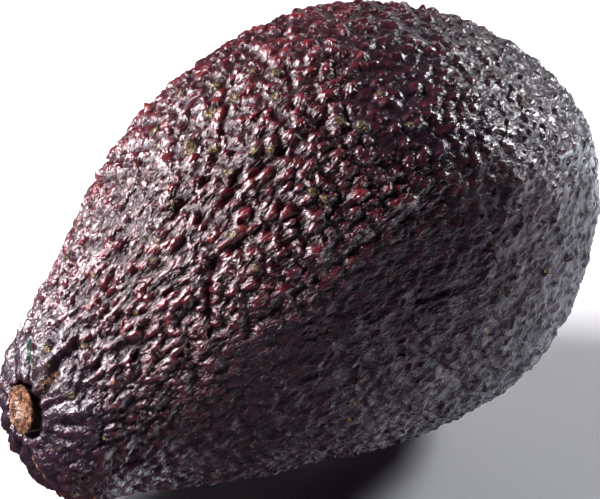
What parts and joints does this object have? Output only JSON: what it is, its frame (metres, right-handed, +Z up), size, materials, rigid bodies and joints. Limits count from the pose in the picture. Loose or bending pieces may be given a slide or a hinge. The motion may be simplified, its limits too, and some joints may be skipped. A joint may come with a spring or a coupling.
{
  "type": "avocado",
  "caption": "Whole ripe avocado lying on its side, pear-shaped with dark pebbled skin, folds round a sunken pit at the stem end and a short woody button standing in it.",
  "frame": {"origin": "middle of the small flat spot that the fruit rests on", "axes": "+X along the fruit from the stem end to the blossom end, +Z up, the long axis sloping down towards the stem by about 12 degrees"},
  "size_m": [0.0976, 0.0688, 0.0676],
  "materials": {
    "skin": "waxy satin, purple-black grooves and burgundy pebble tops with small tan corky specks",
    "button_wood": "raw, rough, fibrous orange-tan wood, darker on its sides"
  },
  "bodies": {
    "root": {"fruit": "skin", "stem_button": "button_wood"}
  },
  "joints": []
}
